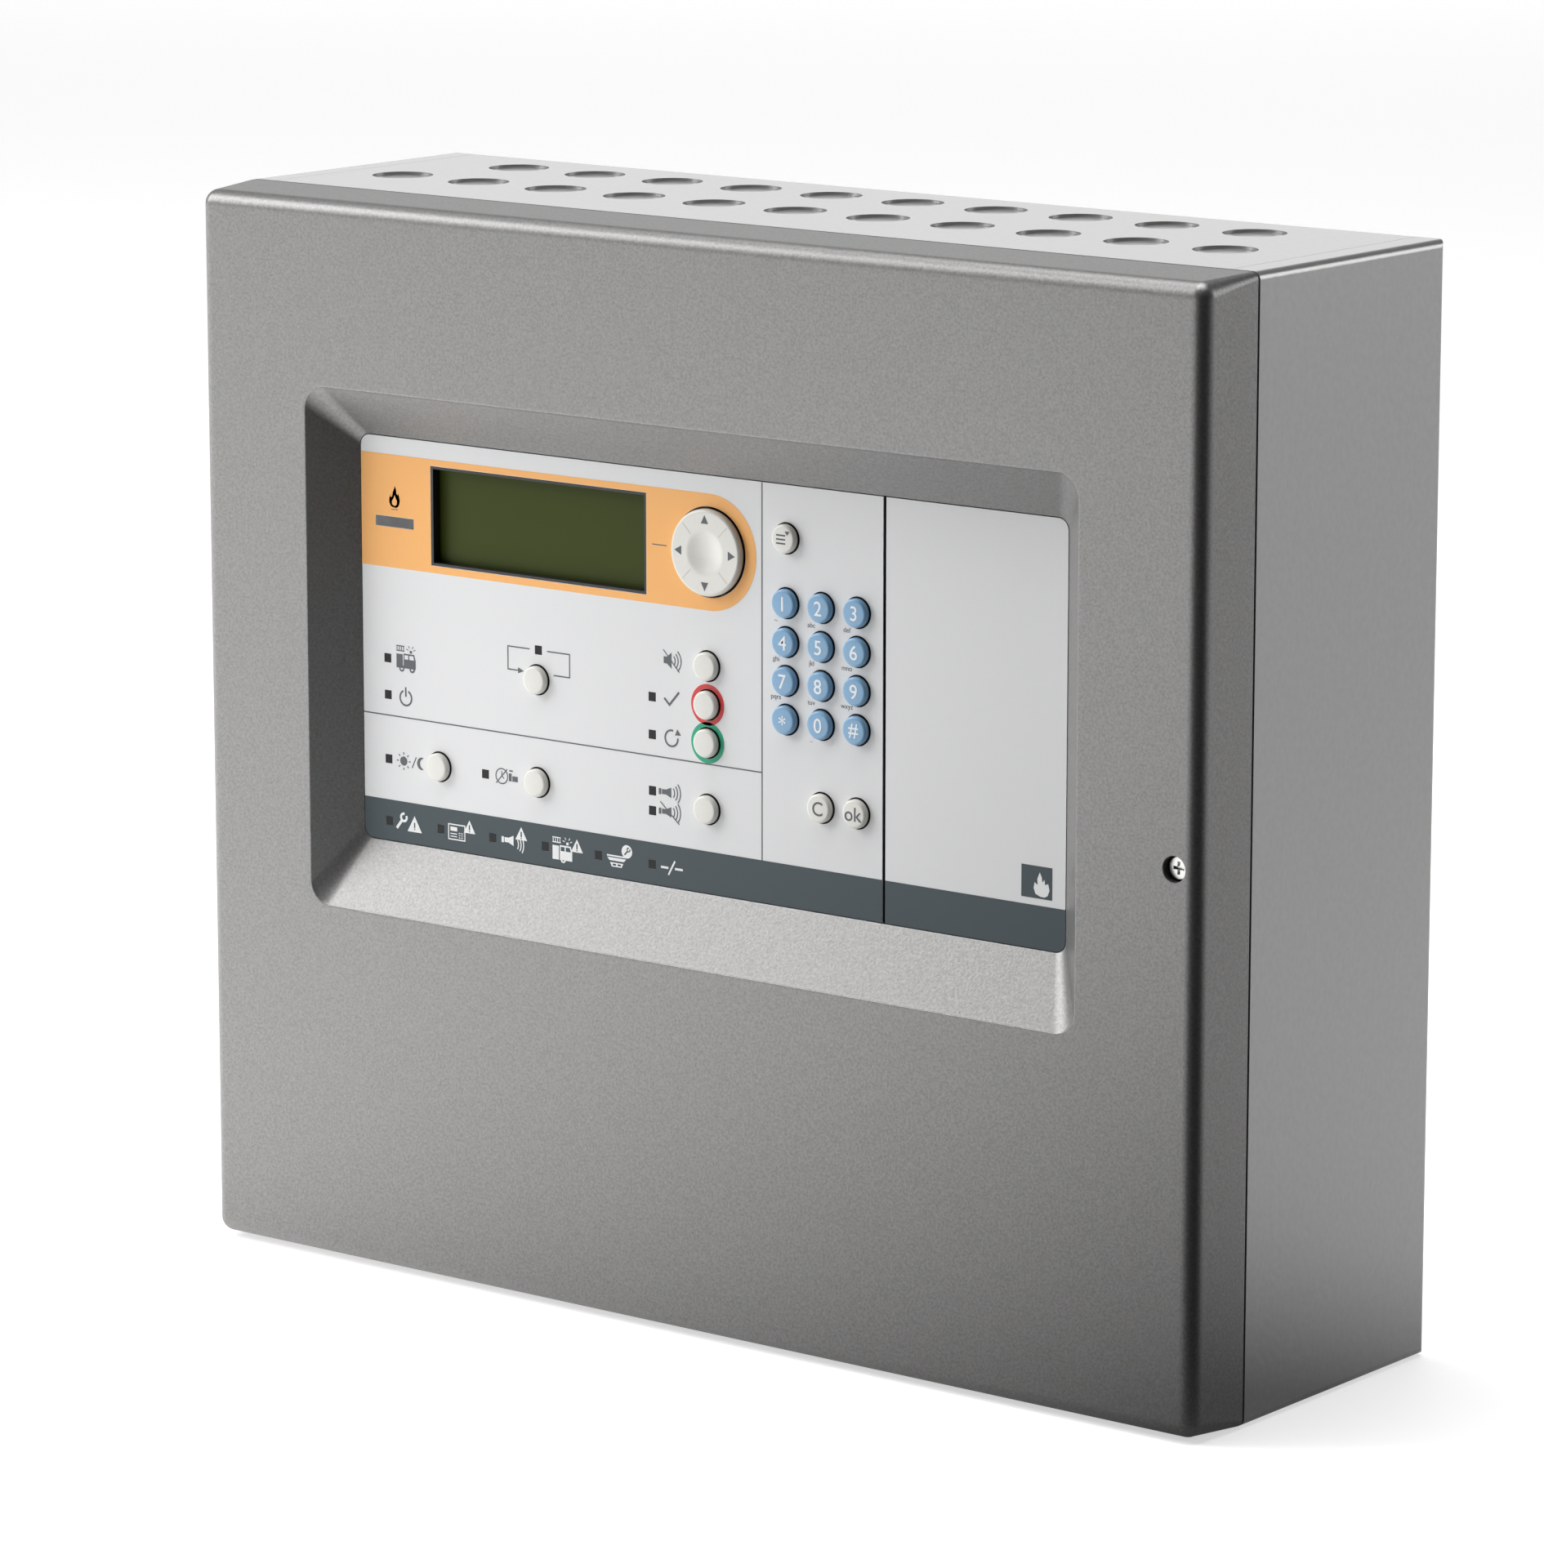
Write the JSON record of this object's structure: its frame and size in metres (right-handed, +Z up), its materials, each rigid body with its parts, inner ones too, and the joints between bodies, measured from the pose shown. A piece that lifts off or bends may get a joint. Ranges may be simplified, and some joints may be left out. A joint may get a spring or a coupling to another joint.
{
  "type": "fire alarm control panel",
  "caption": "Wall-mounted control panel: folded steel back box with knock-outs on top, hinged front cover with recessed display, keypad, buttons and indicators.",
  "frame": {"origin": "middle of the cabinet's rear face, where it lies against the wall", "axes": "+X along the width to the reader's right as seen from the front, +Y out of the rear face into the wall, +Z up"},
  "size_m": [0.404, 0.129, 0.357],
  "materials": {
    "battery_case": "fine texture",
    "black_plastic": "satin",
    "blue_cap": "satin",
    "box_paint": "fine orange-peel powder coat, semi-gloss",
    "brass": "plain",
    "circuit_board": "green solder mask",
    "cover_plastic": "fine-grained metallic grey, matte",
    "dark_lens": "tinted",
    "lcd_glass": "unlit display",
    "lead_sheath": "smooth sheath",
    "panel_foil": "printed matt foil",
    "ribbon": "grey flat cable",
    "silicone": "silicone",
    "terminal_plastic": "satin",
    "white_cap": "satin",
    "white_plastic": "satin",
    "zinc": "zinc plated"
  },
  "bodies": {
    "cabinet": {"back_box": "box_paint", "top_plate": "box_paint", "knockout_discs": "box_paint", "hinge_brackets": "zinc", "hinge_pins": "zinc", "lock_nut": "zinc", "earth_stud": "brass", "main_board": "circuit_board", "board_standoffs": "brass", "board_screws": "zinc", "terminal_blocks": "terminal_plastic", "relays": "black_plastic", "processor_module": "black_plastic", "psu_tray": "zinc", "psu_board": "circuit_board", "psu_cover": "zinc", "mains_terminal": "white_plastic", "battery_left": "battery_case", "battery_right": "battery_case", "battery_strap": "zinc", "battery_leads": "lead_sheath", "ribbon_cable": "ribbon"},
    "door": {"front_cover": "cover_plastic", "panel_plate": "panel_foil", "blank_plate": "panel_foil", "light_windows": "dark_lens", "alarm_light_bar": "dark_lens", "lcd_frame": "black_plastic", "lcd_glass": "lcd_glass", "lcd_module": "zinc", "key_mat": "silicone", "operating_board": "circuit_board", "operating_board_screws": "zinc", "buzzer": "black_plastic"},
    "screw_slider": {"screw_retainer": "black_plastic"},
    "screw": {"cover_screw": "zinc"},
    "nav_pivot": {"nav_stem": "zinc"},
    "nav": {"nav_pad": "white_cap"},
    "key_1_cap": {"key_1": "blue_cap"},
    "key_2_cap": {"key_2": "blue_cap"},
    "key_3_cap": {"key_3": "blue_cap"},
    "key_4_cap": {"key_4": "blue_cap"},
    "key_5_cap": {"key_5": "blue_cap"},
    "key_6_cap": {"key_6": "blue_cap"},
    "key_7_cap": {"key_7": "blue_cap"},
    "key_8_cap": {"key_8": "blue_cap"},
    "key_9_cap": {"key_9": "blue_cap"},
    "key_star_cap": {"key_star": "blue_cap"},
    "key_0_cap": {"key_0": "blue_cap"},
    "key_hash_cap": {"key_hash": "blue_cap"},
    "menu_button_cap": {"menu_button": "white_cap"},
    "clear_button_cap": {"clear_button": "white_cap"},
    "ok_button_cap": {"ok_button": "white_cap"},
    "loop_button_cap": {"loop_button": "white_cap"},
    "silence_button_cap": {"silence_button": "white_cap"},
    "acknowledge_button_cap": {"acknowledge_button": "white_cap"},
    "reset_button_cap": {"reset_button": "white_cap"},
    "day_night_button_cap": {"day_night_button": "white_cap"},
    "delay_off_button_cap": {"delay_off_button": "white_cap"},
    "sounder_button_cap": {"sounder_button": "white_cap"}
  },
  "joints": [
    {"name": "door_hinge", "type": "hinge", "parent": "cabinet", "child": "door", "pos_m": [-0.1976, -0.119, 0], "axis": [0, 0, -1], "range_deg": [0, 95], "deforming": ["ribbon_cable"]},
    {"name": "screw_push", "type": "slide", "parent": "door", "child": "screw_slider", "axis": [0, 1, 0], "range_m": [0, 0.0025], "stiffness_N_per_m": 300},
    {"name": "screw_turn", "type": "hinge", "parent": "screw_slider", "child": "screw", "pos_m": [0.1918, -0.122, 0], "axis": [0, -1, 0], "continuous": true},
    {"name": "nav_tilt_vertical", "type": "hinge", "parent": "door", "child": "nav_pivot", "pos_m": [0.0034, -0.1126, 0.0754], "axis": [1, 0, 0], "range_deg": [-2.5, 2.5], "stiffness_Nm_per_rad": 0.2},
    {"name": "nav_tilt_sideways", "type": "hinge", "parent": "nav_pivot", "child": "nav", "pos_m": [0.0034, -0.1126, 0.0754], "axis": [0, 0, 1], "range_deg": [-2.5, 2.5], "stiffness_Nm_per_rad": 0.2},
    {"name": "key_1_press", "type": "slide", "parent": "door", "child": "key_1_cap", "axis": [0, 1, 0], "range_m": [0, 0.001], "stiffness_N_per_m": 250},
    {"name": "key_2_press", "type": "slide", "parent": "door", "child": "key_2_cap", "axis": [0, 1, 0], "range_m": [0, 0.001], "stiffness_N_per_m": 250},
    {"name": "key_3_press", "type": "slide", "parent": "door", "child": "key_3_cap", "axis": [0, 1, 0], "range_m": [0, 0.001], "stiffness_N_per_m": 250},
    {"name": "key_4_press", "type": "slide", "parent": "door", "child": "key_4_cap", "axis": [0, 1, 0], "range_m": [0, 0.001], "stiffness_N_per_m": 250},
    {"name": "key_5_press", "type": "slide", "parent": "door", "child": "key_5_cap", "axis": [0, 1, 0], "range_m": [0, 0.001], "stiffness_N_per_m": 250},
    {"name": "key_6_press", "type": "slide", "parent": "door", "child": "key_6_cap", "axis": [0, 1, 0], "range_m": [0, 0.001], "stiffness_N_per_m": 250},
    {"name": "key_7_press", "type": "slide", "parent": "door", "child": "key_7_cap", "axis": [0, 1, 0], "range_m": [0, 0.001], "stiffness_N_per_m": 250},
    {"name": "key_8_press", "type": "slide", "parent": "door", "child": "key_8_cap", "axis": [0, 1, 0], "range_m": [0, 0.001], "stiffness_N_per_m": 250},
    {"name": "key_9_press", "type": "slide", "parent": "door", "child": "key_9_cap", "axis": [0, 1, 0], "range_m": [0, 0.001], "stiffness_N_per_m": 250},
    {"name": "key_star_press", "type": "slide", "parent": "door", "child": "key_star_cap", "axis": [0, 1, 0], "range_m": [0, 0.001], "stiffness_N_per_m": 250},
    {"name": "key_0_press", "type": "slide", "parent": "door", "child": "key_0_cap", "axis": [0, 1, 0], "range_m": [0, 0.001], "stiffness_N_per_m": 250},
    {"name": "key_hash_press", "type": "slide", "parent": "door", "child": "key_hash_cap", "axis": [0, 1, 0], "range_m": [0, 0.001], "stiffness_N_per_m": 250},
    {"name": "menu_button_press", "type": "slide", "parent": "door", "child": "menu_button_cap", "axis": [0, 1, 0], "range_m": [0, 0.001], "stiffness_N_per_m": 250},
    {"name": "clear_button_press", "type": "slide", "parent": "door", "child": "clear_button_cap", "axis": [0, 1, 0], "range_m": [0, 0.001], "stiffness_N_per_m": 250},
    {"name": "ok_button_press", "type": "slide", "parent": "door", "child": "ok_button_cap", "axis": [0, 1, 0], "range_m": [0, 0.001], "stiffness_N_per_m": 250},
    {"name": "loop_button_press", "type": "slide", "parent": "door", "child": "loop_button_cap", "axis": [0, 1, 0], "range_m": [0, 0.001], "stiffness_N_per_m": 250},
    {"name": "silence_button_press", "type": "slide", "parent": "door", "child": "silence_button_cap", "axis": [0, 1, 0], "range_m": [0, 0.001], "stiffness_N_per_m": 250},
    {"name": "acknowledge_button_press", "type": "slide", "parent": "door", "child": "acknowledge_button_cap", "axis": [0, 1, 0], "range_m": [0, 0.001], "stiffness_N_per_m": 250},
    {"name": "reset_button_press", "type": "slide", "parent": "door", "child": "reset_button_cap", "axis": [0, 1, 0], "range_m": [0, 0.001], "stiffness_N_per_m": 250},
    {"name": "day_night_button_press", "type": "slide", "parent": "door", "child": "day_night_button_cap", "axis": [0, 1, 0], "range_m": [0, 0.001], "stiffness_N_per_m": 250},
    {"name": "delay_off_button_press", "type": "slide", "parent": "door", "child": "delay_off_button_cap", "axis": [0, 1, 0], "range_m": [0, 0.001], "stiffness_N_per_m": 250},
    {"name": "sounder_button_press", "type": "slide", "parent": "door", "child": "sounder_button_cap", "axis": [0, 1, 0], "range_m": [0, 0.001], "stiffness_N_per_m": 250}
  ]
}
